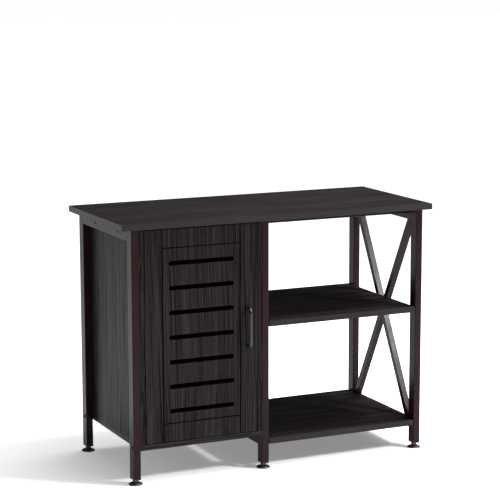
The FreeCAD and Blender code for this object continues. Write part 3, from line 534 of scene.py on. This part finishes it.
CROSS_REACH, CROSS_WIDTH, CROSS_DEPTH = 0.56, 0.13, 0.62
# A cross recess narrows to these shares of its reach and its width at the floor.
CROSS_FLOOR_REACH, CROSS_FLOOR_WIDTH = 0.62, 0.8
HEX_FLAT, HEX_DEPTH = 0.37, 0.6
# The side of the head from the seat upwards, as (height, radius).
HEAD_SIDE = ((0.0, 0.96), (0.06, 1.0), (0.38, 1.0), (0.62, 0.95))
# The domed top, in steps from its rim inwards to the recess's mouth.
DOME_STEPS = (0.75, 0.5, 0.25, 0.08)
DOME_DROP = 0.3
DOME_RIM = 0.93
MOUTH_HEIGHT = 0.985
# The shank's chamfered tip: its radius and length as shares of the shank's, and the most
# that the length can be, in metres.
TIP_RADIUS, TIP_SHARE, TIP_MOST = 0.7, 0.1, 0.0006
# How far each recess of a node is turned from the last, and the first one's turn, in radians.
RECESS_TURN, FIRST_TURN = 0.7, 0.3
FASTENER_SIDES = 72
# A point is on the head's rim beyond this share of the head's radius.
RIM_SHARE = 0.99
SAME_LEVEL = 1e-5
FASTENERS = {
    "tabletop_screws": "cross", "rail_screws": "cross", "side_screws": "cross",
    "back_screws": "cross", "catch_screws": "cross", "handle_screws": "cross",
    "strike_screws": "cross", "floor_bolts": "hex", "shelf_bolts": "hex",
}


def cross_outline(reach, half_width):
    """The outline of a cross recess."""
    def radius(angle):
        aside = abs(math.sin((angle + math.pi / 4) % (math.pi / 2) - math.pi / 4))
        return reach if reach * aside <= half_width else half_width / aside
    return radius


def hex_outline(flat):
    """The outline of a hexagonal socket, flat being half its width."""
    def radius(angle):
        return flat / math.cos(angle % (math.pi / 3) - math.pi / 6)
    return radius


def grown(outline, share, rim):
    """An outline part of the way from a recess to the round rim."""
    return lambda angle: outline(angle) * (1 - share) + rim * share


def fastener_rings(head, tall, shank, length, recess):
    """From the shank's tip at -length to the floor of the recess in the head."""
    if recess == "cross":
        mouth = cross_outline(CROSS_REACH * head, CROSS_WIDTH * head)
        floor = cross_outline(CROSS_REACH * head * CROSS_FLOOR_REACH,
                              CROSS_WIDTH * head * CROSS_FLOOR_WIDTH)
        depth = CROSS_DEPTH * tall
    else:
        mouth = floor = hex_outline(HEX_FLAT * head)
        depth = HEX_DEPTH * tall
    tip = min(TIP_MOST, length * TIP_SHARE)
    rings = [(-length, shank * TIP_RADIUS), (-length + tip, shank), (0, shank)]
    rings += [(tall * up, head * out) for up, out in HEAD_SIDE]
    for share in DOME_STEPS:
        height = tall * (1 - DOME_DROP * share * share)
        rings.append((height, grown(mouth, share, head * DOME_RIM)))
    return rings + [(tall * MOUTH_HEIGHT, mouth), (tall - depth, floor)]


def measure_fastener(points):
    """Where a CAD fastener's head stands and the way it points, then its sizes: the head's
    radius and height, and the shank's radius and length."""
    low, high = corners(points)
    middle = (low + high) / 2
    axis = max(range(3), key=lambda each: high[each] - low[each])

    def reach(point):
        away = point - middle
        away[axis] = 0
        return away.length

    head = max(reach(point) for point in points)
    rim = [point[axis] for point in points if reach(point) > head * RIM_SHARE]
    head_at_high = max(rim) > high[axis] - SAME_LEVEL
    tip = low[axis] if head_at_high else high[axis]
    seat = min(rim) if head_at_high else max(rim)
    shank = max(reach(point) for point in points if abs(point[axis] - tip) < SAME_LEVEL)
    place = middle.copy()
    place[axis] = seat
    direction = Vector()
    direction[axis] = 1 if head_at_high else -1
    return place, direction, head, max(rim) - min(rim), shank, abs(seat - tip)


def make_fasteners():
    """Real heads with driving recesses in place of the plain CAD fasteners."""
    for node, recess in FASTENERS.items():
        bm = bmesh.new()
        for number, points in enumerate(islands(node)):
            place, direction, head, tall, shank, length = measure_fastener(points)
            turn = direction.to_track_quat("Z", "Y").to_matrix().to_4x4()
            spin = Matrix.Rotation(RECESS_TURN * number + FIRST_TURN, 4, "Z")
            add_rings(bm, fastener_rings(head, tall, shank, length, recess),
                      Matrix.Translation(place) @ turn @ spin, FASTENER_SIDES)
        add_piece(node + "_detail", bm, body_with(node), slot_of(node), (node,))


# ---------------------------------------------------------------- foot studs

THREAD_PITCH = 0.00125
THREAD_DEPTH = 0.00055
ROWS_PER_TURN = 6
THREAD_SIDES = 24


def thread_outline(radius, height):
    """The outline of a threaded rod, cut across at a height."""
    def reach(angle):
        turn = (height / THREAD_PITCH - angle / (2 * math.pi)) % 1
        return radius - THREAD_DEPTH * abs(2 * turn - 1)
    return reach


def make_studs():
    """Threaded studs in place of the plain CAD ones."""
    for node in sorted(NODES):
        if not node.startswith("foot_stud_"):
            continue
        low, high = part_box(node)
        radius = (high.x - low.x) / 2
        length = high.z - low.z
        count = round(length / THREAD_PITCH * ROWS_PER_TURN)
        chamfer = radius - 2 * THREAD_DEPTH
        rings = [(0, chamfer)]
        for row in range(1, count):
            height = length * row / count
            rings.append((height, thread_outline(radius, height)))
        rings.append((length, chamfer))
        bm = bmesh.new()
        base = Vector(((low.x + high.x) / 2, (low.y + high.y) / 2, low.z))
        add_rings(bm, rings, Matrix.Translation(base), THREAD_SIDES)
        add_piece(node + "_thread", bm, body_with(node), slot_of(node), (node,))


# --------------------------------------------------------------------- welds

BEAD_RADIUS = 0.0017
BEAD_RIPPLE = 0.0016
# The ripples' troughs and their rise, as shares of the bead's radius.
RIPPLE_TROUGH, RIPPLE_RISE = 0.84, 0.16
ROWS_PER_RIPPLE = 5
# A bead starts at this share of its radius and reaches the whole of it over the taper.
BEAD_START = 0.35
BEAD_TAPER = 0.0015
BEAD_SIDES = 12
# How far the beads stop short of the corners of the face they run round.
TOP_RAIL_GAP, LOW_RAIL_GAP, BRACE_GAP = 0.003, 0.002, 0.001
END_FACE_DEPTH = 2e-5
TOP_RAILS = ("top_rail_left", "top_rail_middle", "top_rail_right")
LOW_RAILS = ("low_rail_middle", "low_rail_right")
# The ends of the brace's pieces that stand against a rail, and whether each is an upper end.
BRACE_ENDS = (
    ("brace_long", False), ("brace_long", True), ("brace_upper", True), ("brace_lower", False),
)


def add_bead(bm, start, end):
    """A rippled weld bead between two points."""
    run = end - start
    length = run.length
    count = max(4, round(length / (BEAD_RIPPLE / ROWS_PER_RIPPLE)))
    rings = []
    for row in range(count + 1):
        height = length * row / count
        ripple = RIPPLE_TROUGH + RIPPLE_RISE * abs(math.sin(math.pi * height / BEAD_RIPPLE))
        taper = min(1, height / BEAD_TAPER + BEAD_START, (length - height) / BEAD_TAPER + BEAD_START)
        rings.append((height, BEAD_RADIUS * taper * ripple))
    turn = run.to_track_quat("Z", "Y").to_matrix().to_4x4()
    add_rings(bm, rings, Matrix.Translation(start) @ turn, BEAD_SIDES)


def end_corners(node, axis, at_high):
    """The low and high corner of a tube's end face across an axis."""
    points = [vertex.co for vertex in NODES[node].data.vertices]
    level = (max if at_high else min)(point[axis] for point in points)
    return corners([point for point in points if abs(point[axis] - level) < END_FACE_DEPTH])


def weld_rail(bm, node, gap, both_edges):
    """Beads at both ends of a rail, under it or both under and over it."""
    inset = Vector((gap, 0, 0))
    for at_high in (False, True):
        low, high = end_corners(node, Y, at_high)
        for z in (low.z, high.z) if both_edges else (low.z,):
            add_bead(bm, Vector((low.x, low.y, z)) + inset, Vector((high.x, low.y, z)) - inset)


def weld_brace(bm, node, at_high):
    """Beads all round one end of a brace."""
    low, high = end_corners(node, Z, at_high)
    for x in (low.x, high.x):
        add_bead(bm, Vector((x, low.y + BRACE_GAP, low.z)), Vector((x, high.y - BRACE_GAP, low.z)))
    for y in (low.y, high.y):
        add_bead(bm, Vector((low.x + BRACE_GAP, y, low.z)), Vector((high.x - BRACE_GAP, y, low.z)))


def make_welds():
    bm = bmesh.new()
    for node in TOP_RAILS:
        weld_rail(bm, node, TOP_RAIL_GAP, both_edges=False)
    for node in LOW_RAILS:
        weld_rail(bm, node, LOW_RAIL_GAP, both_edges=True)
    for node, at_high in BRACE_ENDS:
        weld_brace(bm, node, at_high)
    add_piece("weld_beads", bm, "stand", "powder_coat")


# ------------------------------------------------------------ softened edges

EDGE_WIDTHS = {
    "tabletop": 0.0014, "middle_shelf": 0.0014, "bottom_shelf": 0.0014, "door": 0.0011,
    "cabinet_side": 0.0013, "cabinet_partition": 0.0013, "cabinet_floor": 0.0007,
    "inner_shelf": 0.0007, "cabinet_back": 0.0003,
}
EDGE_SEGMENTS = 3
MERGE_DISTANCE = 1e-5
FLAT_ANGLE = 1
CORNER_ANGLE = 35


def soften_edges():
    """Rounds the boards' edges, as edge banding leaves them; the CAD meshes stay as they are."""
    for name, width in EDGE_WIDTHS.items():
        piece = NODES[name]
        weld = piece.modifiers.new("weld", "WELD")
        weld.merge_threshold = MERGE_DISTANCE
        flat = piece.modifiers.new("flat", "DECIMATE")
        flat.decimate_type = "DISSOLVE"
        flat.angle_limit = math.radians(FLAT_ANGLE)
        bevel = piece.modifiers.new("edges", "BEVEL")
        bevel.width = width
        bevel.segments = EDGE_SEGMENTS
        bevel.limit_method = "ANGLE"
        bevel.angle_limit = math.radians(CORNER_ANGLE)
        bevel.use_clamp_overlap = True
        bevel.harden_normals = True


# -------------------------------------------------------------------- studio

WHITE = (1, 1, 1)
WORLD_LIGHT = 0.12
SUN_POWER = 2.6
SUN_SPREAD = 64
SUN_FROM = (0.42, -0.1, 1.0)
SUN_DISTANCE = 3
FLOOR_REACH = 30
FLOOR_TONE = (0.95, 0.95, 0.95)
FLOOR_GLOW = 0.25
SOFTBOXES = {
    "key": {"azimuth": 45, "elevation": 34, "distance": 3.4, "side": 0.5, "power": 105},
    "overhead": {"azimuth": 68, "elevation": 63, "distance": 3.2, "side": 0.6, "power": 140},
    "left_fill": {"azimuth": -100, "elevation": 20, "distance": 4.0, "side": 2.4, "power": 26},
}


def make_light(name, kind, place, aim, power, **settings):
    """A light at a point, with its beam towards another."""
    data = bpy.data.lights.new(name, kind)
    data.energy = power
    for key, setting in settings.items():
        setattr(data, key, setting)
    lamp = bpy.data.objects.new(name, data)
    turn = (aim - place).to_track_quat("-Z", "Y").to_matrix().to_4x4()
    lamp.matrix_world = Matrix.Translation(place) @ turn
    bpy.context.scene.collection.objects.link(lamp)


def make_softbox(name, middle, azimuth, elevation, distance, side, power):
    """A square softbox that faces the middle of the object."""
    place = middle + outward(azimuth, elevation) * distance
    make_light(name, "AREA", place, middle, power, shape="SQUARE", size=side)


def make_world():
    """A white backdrop that is seen as white and lights the object only softly."""
    world = bpy.data.worlds.new("studio")
    bpy.context.scene.world = world
    world.use_nodes = True
    tree = world.node_tree
    soft = tree.nodes["Background"]
    soft.inputs["Strength"].default_value = WORLD_LIGHT
    soft.inputs["Color"].default_value = (*WHITE, 1)
    white = tree.nodes.new("ShaderNodeBackground")
    white.inputs["Color"].default_value = (*WHITE, 1)
    seen = tree.nodes.new("ShaderNodeLightPath")
    choice = tree.nodes.new("ShaderNodeMixShader")
    tree.links.new(seen.outputs["Is Camera Ray"], choice.inputs[0])
    tree.links.new(soft.outputs[0], choice.inputs[1])
    tree.links.new(white.outputs[0], choice.inputs[2])
    tree.links.new(choice.outputs[0], tree.nodes["World Output"].inputs["Surface"])


def make_floor(height):
    """A wide, pale, slightly glowing floor, so that the shadows on it stay light."""
    bm = bmesh.new()
    bmesh.ops.create_grid(bm, x_segments=1, y_segments=1, size=FLOOR_REACH)
    mesh = bpy.data.meshes.new("floor")
    bm.to_mesh(mesh)
    bm.free()
    floor = bpy.data.objects.new("floor", mesh)
    floor.location.z = height
    bpy.context.scene.collection.objects.link(floor)
    floor.data.materials.append(Shader("pale_floor").finish(
        colour=FLOOR_TONE, rough=0.9, specular=0.1, glow=WHITE, glow_power=FLOOR_GLOW))


def make_studio():
    bpy.context.scene.view_settings.view_transform = "Standard"
    low, high = CAD_BOX
    middle = (low + high) / 2
    make_floor(low.z)
    make_world()
    make_light("sky", "SUN", middle + Vector(SUN_FROM) * SUN_DISTANCE, middle, SUN_POWER,
               angle=math.radians(SUN_SPREAD))
    for name, values in SOFTBOXES.items():
        make_softbox(name, middle, **values)


# --------------------------------------------------------------------- build

make_camera()
paint_nodes()
soften_edges()
make_fasteners()
make_studs()
make_welds()
make_studio()
